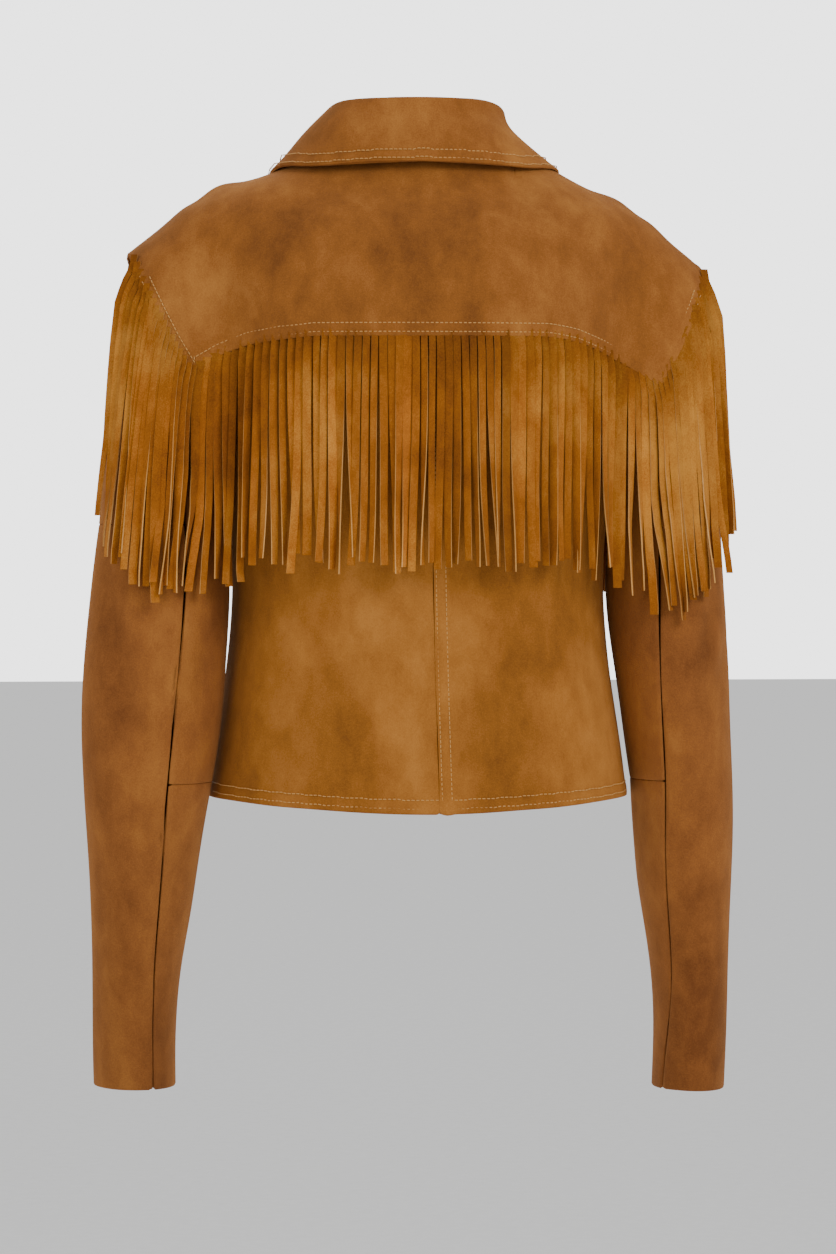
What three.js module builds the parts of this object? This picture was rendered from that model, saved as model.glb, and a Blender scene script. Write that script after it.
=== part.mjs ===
// A cropped western jacket of brown suede, as it sits on a wearer: +Z up, the front faces -Y, the wearer's
// left is +X. Millimetres. The origin is at the base of the neck, between the shoulders.
// Every piece is a wall of suede on one of two forms: the torso and the sleeve tubes, each a table of
// level sections. The yoke and the fringe lie on the smooth skin that wraps both forms together.
import * as THREE from 'three';

// ---------------------------------------------------------------- driving dimensions
const SUEDE = 1.6; // thickness of one layer
const SEAM = 0.3; // gap between two pieces that are sewn edge to edge
const YOKE_LIFT = 5; // outer face of the yoke above the forms
const FRINGE_LIFT = 7.2; // outer face of the fringe above the forms
const FRINGE_DROP = 3; // the fringe's solid starts this far below the yoke's edge
const FRINGE_THICK = 2.4; // the strips lie two or three deep
const COLLAR_THICK = 2.2; // two layers sewn together
const HEM_SIDE = -465;
const HEM_CENTRE = -473;
const ARMHOLE = { top: -45, bottom: -225, back: 64, front: 56 };
const NECK = { halfWidth: 68, backZ: 6, sideZ: 10, drop: 72, under: 6 }; // the fronts end `under` wider than the yoke
const FRONT_LAP = 20; // each front runs this far past the centre
const LAP_LIFT = 3.6; // the right front lies this far proud where it laps
const PLACKET = 30; // the front yokes and their fringe stop this far from the centre
const SEAM_SWING = 6; // the centre-back seam swings this far to the right at the hem
const ELBOW_SEAM = -454;
const UPPER_SLEEVE_SEAM = -267;
const FREE_SLEEVE = -236; // below this height the sleeve is a plain tube
const SHOULDER_RAISE = 4.3; // the left shoulder is carried higher than the right by twice this
const SKIN_BLEND = 28; // how softly the skin bridges torso and sleeve
const SNAP = { radius: 7, height: 3, count: 6, top: -90, pitch: 70 };

// Level sections of the torso: half width, the y of the widest line, the y of back and front, and how
// square the outline is.
const TORSO = [
  { z: -490, width: 158, side: 0, back: 119, front: -114, square: 2.3 },
  { z: -440, width: 151.5, side: 0, back: 113, front: -109, square: 2.3 },
  { z: -400, width: 146, side: 0, back: 108, front: -105, square: 2.3 },
  { z: -357, width: 140, side: 0, back: 104, front: -102, square: 2.3 },
  { z: -318, width: 136, side: 0, back: 102, front: -101, square: 2.3 },
  { z: -280, width: 138, side: 0, back: 104, front: -104, square: 2.3 },
  { z: -225, width: 145, side: 0, back: 109, front: -108, square: 2.3 },
  { z: -170, width: 150, side: 0, back: 113, front: -107, square: 2.4 },
  { z: -120, width: 153, side: 0, back: 112, front: -98, square: 2.4 },
  { z: -90, width: 155, side: 0, back: 106, front: -86, square: 2.4 },
  { z: -65, width: 158, side: 0, back: 95, front: -72, square: 2.4 },
  { z: -45, width: 156, side: -2, back: 82, front: -58, square: 2.4 },
  { z: -32, width: 144, side: -4, back: 70, front: -48, square: 2.4 },
  { z: -20, width: 123, side: -5, back: 60, front: -42, square: 2.3 },
  { z: -8, width: 98, side: -6, back: 52, front: -39, square: 2.2 },
  { z: 4, width: 78, side: -6, back: 46, front: -38, square: 2.1 },
  { z: 14, width: 65, side: -6, back: 42, front: -40, square: 2 },
  { z: 30, width: 59, side: -6, back: 42, front: -43, square: 2 },
  { z: 60, width: 57, side: -6, back: 41, front: -44, square: 2 },
];

// Level sections of each sleeve tube: centre, half width, half depth, and the angle of the back seam,
// measured from straight out towards the back.
const SLEEVES = {
  left: [
    { z: -690, x: 209, y: -22, width: 31, depth: 43, seam: 113 },
    { z: -618, x: 210, y: -10, width: 31.5, depth: 44, seam: 113 },
    { z: -588, x: 208, y: -3, width: 34, depth: 45, seam: 110 },
    { z: -544, x: 204.5, y: 8, width: 38, depth: 46, seam: 107 },
    { z: -500, x: 202.5, y: 18, width: 42, depth: 47, seam: 107 },
    { z: -470, x: 202, y: 24, width: 46, depth: 48, seam: 106 },
    { z: -431, x: 199.5, y: 29, width: 50.5, depth: 49, seam: 106 },
    { z: -396, x: 197, y: 28, width: 52.5, depth: 50, seam: 106 },
    { z: -361, x: 195, y: 25, width: 53, depth: 51, seam: 108 },
    { z: -315, x: 191.5, y: 21, width: 52, depth: 52, seam: 109 },
    { z: -280, x: 189.5, y: 17, width: 48.5, depth: 54, seam: 109 },
    { z: -236, x: 189.5, y: 12, width: 44, depth: 56, seam: 109 },
    { z: -170, x: 180, y: 5, width: 49, depth: 58, seam: 109 },
    { z: -120, x: 175.5, y: 0, width: 50, depth: 56, seam: 109 },
    { z: -95, x: 173, y: 0, width: 49.5, depth: 51, seam: 109 },
    { z: -77, x: 167, y: -1, width: 45.5, depth: 45, seam: 109 },
    { z: -61, x: 158, y: -1, width: 35, depth: 35, seam: 109 },
    { z: -46, x: 151, y: -2, width: 20, depth: 20, seam: 109 },
    { z: -36, x: 146, y: -2, width: 2, depth: 2, seam: 109 },
  ],
  right: [
    { z: -695, x: 207.5, y: -38, width: 27.5, depth: 44, seam: 149 },
    { z: -650, x: 208, y: -32, width: 27.5, depth: 45, seam: 141 },
    { z: -618, x: 207, y: -26, width: 28, depth: 46, seam: 130 },
    { z: -574, x: 204, y: -16, width: 31, depth: 48, seam: 127 },
    { z: -544, x: 201, y: -8, width: 35, depth: 50, seam: 125 },
    { z: -500, x: 197.5, y: 1, width: 37.5, depth: 52, seam: 121 },
    { z: -463, x: 196.5, y: 8, width: 38, depth: 54, seam: 120 },
    { z: -403, x: 190.5, y: 12, width: 41, depth: 57, seam: 115 },
    { z: -357, x: 186, y: 11, width: 43.5, depth: 58, seam: 110 },
    { z: -315, x: 183, y: 9, width: 45, depth: 57, seam: 105 },
    { z: -280, x: 182, y: 7, width: 43, depth: 57, seam: 105 },
    { z: -236, x: 185, y: 4, width: 40, depth: 57, seam: 105 },
    { z: -170, x: 174, y: 1, width: 49, depth: 57, seam: 105 },
    { z: -120, x: 171, y: 0, width: 50, depth: 55, seam: 105 },
    { z: -95, x: 169, y: 0, width: 48.5, depth: 50, seam: 105 },
    { z: -77, x: 164.5, y: -1, width: 44.5, depth: 44, seam: 105 },
    { z: -61, x: 156, y: -1, width: 34, depth: 35, seam: 105 },
    { z: -46, x: 150, y: -2, width: 19, depth: 20, seam: 105 },
    { z: -36, x: 146, y: -2, width: 2, depth: 2, seam: 105 },
  ],
};
const FRONT_SEAM = -125; // the sleeve's front seam, as an angle from straight out

// The yoke's lower edge and the reach of the fringe below it, by distance from the centre.
const YOKE_EDGE = [
  { x: 0, z: -130, fringe: 166 },
  { x: 85, z: -130, fringe: 163 },
  { x: 108, z: -133, fringe: 160 },
  { x: 130, z: -139, fringe: 160 },
  { x: 152, z: -149, fringe: 166 },
  { x: 173, z: -161, fringe: 163 },
];
const YOKE_SLANT = [
  { x: 173, z: -161, fringe: 163 },
  { x: 186, z: -139, fringe: 180 },
  { x: 197, z: -117, fringe: 190 },
  { x: 206, z: -97, fringe: 192 },
  { x: 214, z: -76, fringe: 186 },
];
const YOKE_TIP = 214;

// Half of the collar from the centre back to the centre front: where it meets the neck, where it folds
// over, and the free edge of the leaf.
const COLLAR = [
  { s: 0, neckX: 0, neckY: 38, neckZ: 3, foldX: 0, foldY: 48, foldZ: 45, edgeX: 0, edgeY: 65, edgeZ: -2 },
  { s: 1, neckX: 28, neckY: 34, neckZ: 3, foldX: 30, foldY: 42, foldZ: 45, edgeX: 40, edgeY: 62, edgeZ: -3 },
  { s: 2, neckX: 50, neckY: 21, neckZ: 4, foldX: 50, foldY: 26, foldZ: 44, edgeX: 78, edgeY: 46, edgeZ: -5 },
  { s: 3, neckX: 60, neckY: -3, neckZ: 6, foldX: 60, foldY: 0, foldZ: 37, edgeX: 103, edgeY: 4, edgeZ: -3 },
  { s: 4, neckX: 58, neckY: -26, neckZ: -5, foldX: 61, foldY: -27, foldZ: 20, edgeX: 104, edgeY: -42, edgeZ: -22 },
  { s: 5, neckX: 46, neckY: -47, neckZ: -28, foldX: 52, foldY: -54, foldZ: -6, edgeX: 97, edgeY: -80, edgeZ: -60 },
  { s: 6, neckX: 27, neckY: -61, neckZ: -46, foldX: 33, foldY: -74, foldZ: -26, edgeX: 82, edgeY: -100, edgeZ: -92 },
  { s: 7, neckX: 1, neckY: -71, neckZ: -54, foldX: 3, foldY: -86, foldZ: -36, edgeX: 54, edgeY: -112, edgeZ: -106 },
];
const COLLAR_LEAN = 10; // the fold sits this far towards the wearer's left

const LEFT = 1;
const RIGHT = -1;
const BACK = 1;
const FRONT = -1;
const RAD = Math.PI / 180;
const { clamp, lerp, smoothstep } = THREE.MathUtils;

// ---------------------------------------------------------------- the forms
// A column of a table read smoothly between its rows; `key` names the column that runs along the table.
function read(table, column, at, key = 'z') {
  const last = table.length - 1;
  const x = clamp(at, table[0][key], table[last][key]);
  let i = 0;
  while (i < last - 1 && x > table[i + 1][key]) i += 1;
  const slope = (k) => {
    const below = table[Math.max(k - 1, 0)];
    const above = table[Math.min(k + 1, last)];
    return (above[column] - below[column]) / (above[key] - below[key]);
  };
  const span = table[i + 1][key] - table[i][key];
  const t = (x - table[i][key]) / span;
  const rise = t * t * (3 - 2 * t);
  return (
    lerp(table[i][column], table[i + 1][column], rise) +
    span * (t * (1 - t) ** 2 * slope(i) - t * t * (1 - t) * slope(i + 1))
  );
}

// A column read straight between the rows, for edges with corners.
function readStraight(table, column, at, key = 'x') {
  let i = 0;
  while (i < table.length - 2 && at > table[i + 1][key]) i += 1;
  const t = clamp((at - table[i][key]) / (table[i + 1][key] - table[i][key]), 0, 1);
  return lerp(table[i][column], table[i + 1][column], t);
}

// Distance from the torso's axis to its outline at height z, in the direction `angle` from straight back.
function torsoReach(angle, z) {
  const side = read(TORSO, 'side', z);
  const depth = Math.cos(angle) > 0 ? read(TORSO, 'back', z) - side : side - read(TORSO, 'front', z);
  const square = read(TORSO, 'square', z);
  const across = Math.abs(Math.sin(angle)) / read(TORSO, 'width', z);
  const along = Math.abs(Math.cos(angle)) / depth;
  return (across ** square + along ** square) ** (-1 / square);
}

function torsoPoint(angle, z, out = 0) {
  const reach = torsoReach(angle, z) + out;
  return new THREE.Vector3(reach * Math.sin(angle), read(TORSO, 'side', z) + reach * Math.cos(angle), z);
}

// The angle at which the torso's outline at height z passes a given x, behind or in front of the side.
function torsoAngleAtX(x, z, face) {
  const square = read(TORSO, 'square', z);
  const side = read(TORSO, 'side', z);
  const depth = face === BACK ? read(TORSO, 'back', z) - side : side - read(TORSO, 'front', z);
  const part = clamp(Math.abs(x) / read(TORSO, 'width', z), 0, 1);
  return Math.atan2(x, face * depth * (1 - part ** square) ** (1 / square));
}

// The same for a given y.
function torsoAngleAtY(y, z) {
  const square = read(TORSO, 'square', z);
  const side = read(TORSO, 'side', z);
  const depth = y > side ? read(TORSO, 'back', z) - side : side - read(TORSO, 'front', z);
  const part = clamp(Math.abs(y - side) / depth, 0, 1);
  return Math.atan2(read(TORSO, 'width', z) * (1 - part ** square) ** (1 / square), y - side);
}

// A point on a sleeve tube; angle 0 is straight out, 90 is the back.
function sleeveRing(hand, angle, z) {
  const rows = hand === LEFT ? SLEEVES.left : SLEEVES.right;
  return new THREE.Vector3(
    hand * (read(rows, 'x', z) + read(rows, 'width', z) * Math.cos(angle)),
    read(rows, 'y', z) + read(rows, 'depth', z) * Math.sin(angle),
    z,
  );
}

// How far a point is outside the torso, and outside a sleeve, measured level.
function outsideTorso(x, y, z) {
  const dy = y - read(TORSO, 'side', z);
  return Math.hypot(x, dy) - torsoReach(Math.atan2(x, dy), z);
}

function outsideSleeve(rows, x, y, z) {
  const dx = x - read(rows, 'x', z);
  const dy = y - read(rows, 'y', z);
  const span = Math.hypot(dx, dy);
  const ratio = Math.hypot(dx / read(rows, 'width', z), dy / read(rows, 'depth', z));
  const over = Math.max(z - rows[rows.length - 1].z, 0);
  return over + (ratio < 1e-6 ? -read(rows, 'width', z) : span * (1 - 1 / ratio));
}

// The same made a true distance, by the slope of the measure.
function trueDistance(measure, x, y, z) {
  const e = 0.5;
  const here = measure(x, y, z);
  const gx = (measure(x + e, y, z) - measure(x - e, y, z)) / (2 * e);
  const gy = (measure(x, y + e, z) - measure(x, y - e, z)) / (2 * e);
  const gz = (measure(x, y, z + e) - measure(x, y, z - e)) / (2 * e);
  return here / Math.max(Math.hypot(gx, gy, gz), 0.5);
}

// Height of a point above the skin that wraps the torso and the sleeve on its own side.
function aboveSkin(p) {
  const rows = p.x > 0 ? SLEEVES.left : SLEEVES.right;
  const x = Math.abs(p.x);
  const torso = trueDistance(outsideTorso, x, p.y, p.z);
  const sleeve = trueDistance((a, b, c) => outsideSleeve(rows, a, b, c), x, p.y, p.z);
  const near = Math.max(SKIN_BLEND - Math.abs(torso - sleeve), 0) / SKIN_BLEND;
  return Math.min(torso, sleeve) - (near * near * SKIN_BLEND) / 4;
}

function skinNormal(p) {
  const e = 0.8;
  const at = (x, y, z) => aboveSkin(new THREE.Vector3(p.x + x, p.y + y, p.z + z));
  return new THREE.Vector3(
    at(e, 0, 0) - at(-e, 0, 0),
    at(0, e, 0) - at(0, -e, 0),
    at(0, 0, e) - at(0, 0, -e),
  ).normalize();
}

// From a core point inside, out along a direction, to the given height above the skin.
function outToSkin(core, direction, height) {
  const step = direction.clone().normalize();
  const reached = (t) => aboveSkin(core.clone().addScaledVector(step, t)) - height;
  let far = 6;
  while (reached(far) < 0 && far < 300) far += 6;
  let near = far - 6;
  for (let i = 0; i < 18; i += 1) {
    const middle = (near + far) / 2;
    if (reached(middle) < 0) near = middle;
    else far = middle;
  }
  return core.clone().addScaledVector(step, far);
}

// The wearer carries one shoulder higher: everything there rises on the left and sinks on the right.
function posture(p) {
  const side = smoothstep(Math.abs(p.x), 90, 155) * Math.sign(p.x);
  const high = smoothstep(p.z, -330, -150);
  p.z += SHOULDER_RAISE * side * high;
  return p;
}

// ---------------------------------------------------------------- making a wall of suede
function steps(from, to, count) {
  return Array.from({ length: count + 1 }, (unused, i) => lerp(from, to, i / count));
}

// A closed wall. surface(u, v), for u and v from 0 to 1, gives its outer face; the inner face lies
// `thick` behind it. `facing` is 1 or -1, whichever turns the cross product of u and v outwards.
function wall(surface, us, vs, thick, facing) {
  const e = 0.002;
  const outer = [];
  const inner = [];
  for (const v of vs) {
    for (const u of us) {
      const point = surface(u, v);
      const alongU = surface(Math.min(u + e, 1), v).sub(surface(Math.max(u - e, 0), v));
      const alongV = surface(u, Math.min(v + e, 1)).sub(surface(u, Math.max(v - e, 0)));
      const normal = alongU.cross(alongV).normalize();
      outer.push(posture(point.clone()));
      inner.push(posture(point.clone().addScaledVector(normal, -thick * facing)));
    }
  }
  return closedGrid(outer, inner, us.length, vs.length, facing);
}

function closedGrid(outer, inner, columns, rows, facing) {
  const count = columns * rows;
  const triangles = [];
  const quad = (a, b, c, d) => {
    if (facing > 0) triangles.push(a, b, c, a, c, d);
    else triangles.push(a, c, b, a, d, c);
  };
  for (let j = 0; j < rows - 1; j += 1) {
    for (let i = 0; i < columns - 1; i += 1) {
      const a = j * columns + i;
      quad(a, a + 1, a + columns + 1, a + columns);
      quad(count + a, count + a + columns, count + a + columns + 1, count + a + 1);
    }
  }
  for (let i = 0; i < columns - 1; i += 1) {
    const top = (rows - 1) * columns + i;
    quad(i, count + i, count + i + 1, i + 1);
    quad(top, top + 1, count + top + 1, count + top);
  }
  for (let j = 0; j < rows - 1; j += 1) {
    const a = j * columns;
    const b = a + columns - 1;
    quad(a, a + columns, count + a + columns, count + a);
    quad(b, count + b, count + b + columns, b + columns);
  }
  const geometry = new THREE.BufferGeometry();
  const positions = [...outer, ...inner].flatMap((p) => [p.x, p.y, p.z]);
  geometry.setAttribute('position', new THREE.Float32BufferAttribute(positions, 3));
  geometry.setIndex(triangles);
  geometry.computeVertexNormals();
  return geometry;
}

const jacket = new THREE.Group();

function sew(name, geometry, colour = 0xa0632c, roughness = 0.95, metalness = 0) {
  const material = new THREE.MeshStandardMaterial({ color: colour, roughness, metalness });
  material.side = THREE.FrontSide;
  const mesh = new THREE.Mesh(geometry, material);
  mesh.name = name;
  jacket.add(mesh);
  return mesh;
}

// ---------------------------------------------------------------- body panels
// The armhole is an oval seen from the side; its point at `angle` lies on the torso.
function armholeY(z, face) {
  const middle = (ARMHOLE.top + ARMHOLE.bottom) / 2;
  const half = (ARMHOLE.top - ARMHOLE.bottom) / 2;
  const part = clamp((z - middle) / half, -1, 1);
  const reach = face === BACK ? ARMHOLE.back : -ARMHOLE.front;
  return reach * Math.sqrt(1 - part * part);
}

// The panel's outer limit at height z: the side seam, the armhole, or the shoulder seam.
function outerAngle(z, face) {
  const atSide = torsoAngleAtY(read(TORSO, 'side', z) + face * 0.4, z);
  if (z <= ARMHOLE.bottom || z >= ARMHOLE.top) return atSide;
  return torsoAngleAtY(armholeY(z, face) + face * 0.4, z);
}

function neckX(z) {
  const part = clamp((NECK.sideZ - z) / NECK.drop, 0, 1);
  return NECK.halfWidth * Math.sqrt(1 - part * part);
}

function hemZ(angle) {
  return lerp(HEM_CENTRE, HEM_SIDE, Math.sin(angle) ** 2);
}

// Heights of the panel's rows, as parts of the way up: even below the armhole, then following it.
const PANEL_ROWS = [
  ...steps(HEM_CENTRE, ARMHOLE.bottom, 6),
  ...[165, 148, 130, 110, 88, 64, 38, 0].map((turn) => -135 + 90 * Math.cos(turn * RAD)),
  -32, -20, -9, 0,
];
const PANEL_TOP = PANEL_ROWS[PANEL_ROWS.length - 1];
const PANEL_SPAN = PANEL_TOP - HEM_CENTRE;
const PANEL_VS = PANEL_ROWS.map((z) => (z - HEM_CENTRE) / PANEL_SPAN);

function panelHeight(angle, v) {
  const z = HEM_CENTRE + PANEL_SPAN * v;
  const hem = smoothstep(z, HEM_CENTRE, ARMHOLE.bottom);
  return lerp(z - HEM_CENTRE + hemZ(angle), z, hem);
}

// Where the centre-back seam lies at height z, as an x.
function backSeamX(z) {
  return -SEAM_SWING * clamp((-130 - z) / 343, 0, 1) ** 1.3;
}

function backPanel(hand) {
  return (u, v) => {
    const z = HEM_CENTRE + PANEL_SPAN * v;
    const inner = torsoAngleAtX(backSeamX(z) + (hand * SEAM) / 2, z, BACK);
    const outer = hand * outerAngle(z, BACK);
    const angle = lerp(inner, outer, u);
    return torsoPoint(angle, panelHeight(angle, v));
  };
}

// The right front laps over the left one.
function frontPanel(hand) {
  return (u, v) => {
    const z = HEM_CENTRE + PANEL_SPAN * v;
    const lowNeck = NECK.sideZ - NECK.drop;
    const past = -hand * FRONT_LAP;
    const edge = z < lowNeck ? past : lerp(past, hand * (neckX(z) + NECK.under), smoothstep(z, lowNeck, lowNeck + 4));
    const inner = torsoAngleAtX(edge, z, FRONT);
    const outer = outerAngle(z, FRONT);
    const full = 2 * Math.PI;
    const from = hand === LEFT ? (inner + full) % full : (full - inner) % full;
    const angle = lerp(from, outer, u) * hand;
    const point = torsoPoint(angle, panelHeight(angle, v));
    const over = hand === RIGHT ? LAP_LIFT * smoothstep(point.x, -36, -23) : 0;
    return torsoPoint(angle, point.z, over);
  };
}

const PANEL_US = steps(0, 1, 9);
sew('back_left', wall(backPanel(LEFT), PANEL_US, PANEL_VS, SUEDE, -1));
sew('back_right', wall(backPanel(RIGHT), PANEL_US, PANEL_VS, SUEDE, 1));
sew('front_left', wall(frontPanel(LEFT), PANEL_US, PANEL_VS, SUEDE, 1));
sew('front_right', wall(frontPanel(RIGHT), PANEL_US, PANEL_VS, SUEDE, -1));

// ---------------------------------------------------------------- sleeves
const SLEEVE_SET = 1.9; // the sleeve is set this far proud of the armhole's edge

// The armhole's edge by the sleeve's angle: 0 at the shoulder, 90 at the back, 180 under the arm.
function armholePoint(hand, angle) {
  const middle = (ARMHOLE.top + ARMHOLE.bottom) / 2;
  const half = (ARMHOLE.top - ARMHOLE.bottom) / 2 - 0.6;
  const z = middle + half * Math.cos(angle);
  const reach = Math.sin(angle) > 0 ? ARMHOLE.back : ARMHOLE.front;
  const y = (reach - 0.6) * Math.sin(angle);
  const around = torsoAngleAtY(y, z) * hand;
  return torsoPoint(around, z, SLEEVE_SET);
}

// The sleeve's head: it leaves the armhole and follows the skin over the shoulder to the plain tube.
function sleeveHead(hand, angle, part) {
  const rows = hand === LEFT ? SLEEVES.left : SLEEVES.right;
  const start = armholePoint(hand, angle);
  const end = sleeveRing(hand, angle, FREE_SLEEVE);
  const straight = start.clone().lerp(end, part);
  const core = new THREE.Vector3(
    hand * lerp(148, read(rows, 'x', FREE_SLEEVE), part),
    lerp(0, read(rows, 'y', FREE_SLEEVE), part),
    lerp(-135, FREE_SLEEVE, part),
  );
  const outward = smoothstep(Math.cos(angle), -0.75, -0.1);
  const weight = outward * smoothstep(part, 0, 0.2) * (1 - smoothstep(part, 0.8, 1));
  if (weight < 1e-4) return straight;
  const onSkin = outToSkin(core, straight.clone().sub(core), 0);
  return straight.lerp(onSkin, weight);
}

function sleeveSurface(hand, angle, z) {
  if (z <= FREE_SLEEVE) return sleeveRing(hand, angle, z);
  return sleeveHead(hand, angle, 1 - (z - FREE_SLEEVE) / -FREE_SLEEVE);
}

const CUFF = { left: -681, right: -688 };
const HALF_SEAM_ANGLE = 1; // degrees, so that the straight facets of two pieces stay apart

// A sleeve piece between two angles and two heights. Heights above FREE_SLEEVE run to 0 at the armhole.
function sleevePiece(hand, fromAngle, toAngle, heights) {
  const low = heights[0];
  const span = heights[heights.length - 1] - low;
  const surface = (u, v) => {
    const z = low + span * v;
    const angle = lerp(fromAngle(z), toAngle(z), u) * RAD;
    return sleeveSurface(hand, angle, z);
  };
  return { surface, vs: heights.map((z) => (z - low) / span) };
}

for (const [side, hand] of [['left', LEFT], ['right', RIGHT]]) {
  const rows = SLEEVES[side];
  const backSeam = (z) => read(rows, 'seam', Math.min(z, FREE_SLEEVE));
  const upperFrom = () => FRONT_SEAM + HALF_SEAM_ANGLE;
  const upperTo = (z) => backSeam(z) - HALF_SEAM_ANGLE;
  const underFrom = (z) => backSeam(z) + HALF_SEAM_ANGLE;
  const underTo = () => 360 + FRONT_SEAM - HALF_SEAM_ANGLE;
  const head = [-200, -160, -118, -78, -40, 0];
  const half = SEAM / 2;
  const pieces = [
    ['upper_sleeve_top', upperFrom, upperTo, [UPPER_SLEEVE_SEAM + half, FREE_SLEEVE, ...head], 14],
    ['upper_sleeve_bottom', upperFrom, upperTo, steps(CUFF[side], UPPER_SLEEVE_SEAM - half, 10), 13],
    ['under_sleeve_top', underFrom, underTo, [...steps(ELBOW_SEAM + half, FREE_SLEEVE, 6), ...head], 7],
    ['under_sleeve_bottom', underFrom, underTo, steps(CUFF[side], ELBOW_SEAM - half, 6), 7],
  ];
  for (const [name, from, to, heights, columns] of pieces) {
    const { surface, vs } = sleevePiece(hand, from, to, heights);
    sew(`${name}_${side}`, wall(surface, steps(0, 1, columns), vs, SUEDE, hand), 0x9a5f2b);
  }
}

// ---------------------------------------------------------------- yoke
function yokeEdge(x, column) {
  const s = Math.abs(x);
  const table = s < YOKE_SLANT[0].x ? YOKE_EDGE : YOKE_SLANT;
  return readStraight(table, column, s);
}

// The core line that the yoke's slices fan out from, about 50 mm inside the shoulder.
function coreZ(x) {
  return -60 - 0.25 * Math.abs(x);
}

// A slice of the yoke at one x, from the neck or the shoulder seam down to its lower edge.
const SLICE_STEPS = 40;
const SHOULDER_SEAM_TILT = 89.2; // degrees; the two yokes stop just short of each other on the ridge
const slices = new Map();
function yokeSlice(x, face, height) {
  const key = `${x.toFixed(3)} ${face} ${height}`;
  if (slices.has(key)) return slices.get(key);
  const core = new THREE.Vector3(x, -3, coreZ(x));
  const s = Math.abs(x);
  const edge = yokeEdge(x, 'z');
  const points = [];
  let from = core.z - 6;
  if (s < NECK.halfWidth) {
    const dip = NECK.drop * Math.sqrt(1 - (s / NECK.halfWidth) ** 2);
    from = face === BACK ? NECK.backZ + 2 : NECK.sideZ - 2 - dip;
  } else {
    for (let i = 0; i <= SLICE_STEPS; i += 1) {
      const tilt = lerp(SHOULDER_SEAM_TILT, 0, i / SLICE_STEPS) * RAD;
      const direction = new THREE.Vector3(0, face * Math.cos(tilt), Math.sin(tilt));
      points.push(outToSkin(core, direction, height));
    }
  }
  const level = new THREE.Vector3(0, face, 0);
  for (let z = from; z > edge - 8; z -= 5) {
    points.push(outToSkin(new THREE.Vector3(x, -3, z), level, height));
  }
  const kept = [points[0]];
  for (let i = 1; i < points.length; i += 1) {
    if (points[i].z < edge) {
      const above = points[i - 1];
      kept.push(above.clone().lerp(points[i], (above.z - edge) / (above.z - points[i].z)));
      break;
    }
    kept.push(points[i]);
  }
  const lengths = [0];
  for (let i = 1; i < kept.length; i += 1) lengths.push(lengths[i - 1] + kept[i].distanceTo(kept[i - 1]));
  const slice = { kept, lengths };
  slices.set(key, slice);
  return slice;
}

function yokePoint(x, v, face, height = YOKE_LIFT) {
  const { kept, lengths } = yokeSlice(x, face, height);
  const want = v * lengths[lengths.length - 1];
  let i = 1;
  while (i < kept.length - 1 && lengths[i] < want) i += 1;
  const t = (want - lengths[i - 1]) / (lengths[i] - lengths[i - 1]);
  return kept[i - 1].clone().lerp(kept[i], t);
}

// Columns with one at every corner of the lower edge, from one x to the other.
function yokeColumns(from, to) {
  const half = [...steps(0, 51, 4), 59, 65, 69, 77, 86, 97, 108, 119, 130, 141, 152, 163, 173, 183, 193, 203, YOKE_TIP];
  const both = [...half.slice(1).map((x) => -x).reverse(), ...half];
  const inside = both.filter((x) => x > from + 3 && x < to - 3);
  return [from, ...inside, to].map((x) => (x - from) / (to - from));
}

function yokePiece(name, from, to, face) {
  const surface = (u, v) => yokePoint(lerp(from, to, u), v, face);
  sew(name, wall(surface, yokeColumns(from, to), steps(0, 1, 8), SUEDE, face), 0xa5682f);
}
yokePiece('yoke_back', -YOKE_TIP, YOKE_TIP, BACK);
yokePiece('yoke_front_left', PLACKET, YOKE_TIP, FRONT);
yokePiece('yoke_front_right', -YOKE_TIP, -PLACKET, FRONT);

// ---------------------------------------------------------------- fringe
// The fringe hangs straight down from the yoke's edge and is pushed out where the jacket bulges.
const HANG_STEPS = 24;
const hangs = new Map();
function hang(x, face) {
  const key = `${x.toFixed(3)} ${face}`;
  if (hangs.has(key)) return hangs.get(key);
  const p = yokePoint(x, 1, face, FRINGE_LIFT);
  p.z -= FRINGE_DROP;
  const drop = yokeEdge(x, 'fringe') / HANG_STEPS;
  const points = [p.clone()];
  for (let i = 0; i < HANG_STEPS; i += 1) {
    p.z -= drop;
    for (let k = 0; k < 6; k += 1) {
      const short = FRINGE_LIFT - aboveSkin(p);
      if (short < 0.05) break;
      const push = skinNormal(p).setZ(0).normalize();
      p.addScaledVector(push, short);
    }
    points.push(p.clone());
  }
  hangs.set(key, points);
  return points;
}

function fringePiece(name, from, to, face) {
  const surface = (u, v) => {
    const points = hang(lerp(from, to, u), face);
    const at = v * HANG_STEPS;
    const i = Math.min(Math.floor(at), HANG_STEPS - 1);
    return points[i].clone().lerp(points[i + 1], at - i);
  };
  sew(name, wall(surface, yokeColumns(from, to), steps(0, 1, 7), FRINGE_THICK, face), 0xb4722f);
}
fringePiece('fringe_back', -YOKE_TIP, YOKE_TIP, BACK);
fringePiece('fringe_front_left', PLACKET, YOKE_TIP, FRONT);
fringePiece('fringe_front_right', -YOKE_TIP, -PLACKET, FRONT);

// ---------------------------------------------------------------- collar
function collarPoint(s, part) {
  const station = Math.abs(s);
  const hand = Math.sign(s) || 1;
  const at = (column) => read(COLLAR, column, station, 's');
  return new THREE.Vector3(hand * at(`${part}X`), at(`${part}Y`), at(`${part}Z`));
}

const lean = new THREE.Vector3(COLLAR_LEAN, 0, 0);
const stations = steps(-7, 7, 28).map((s) => (s + 7) / 14);

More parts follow.
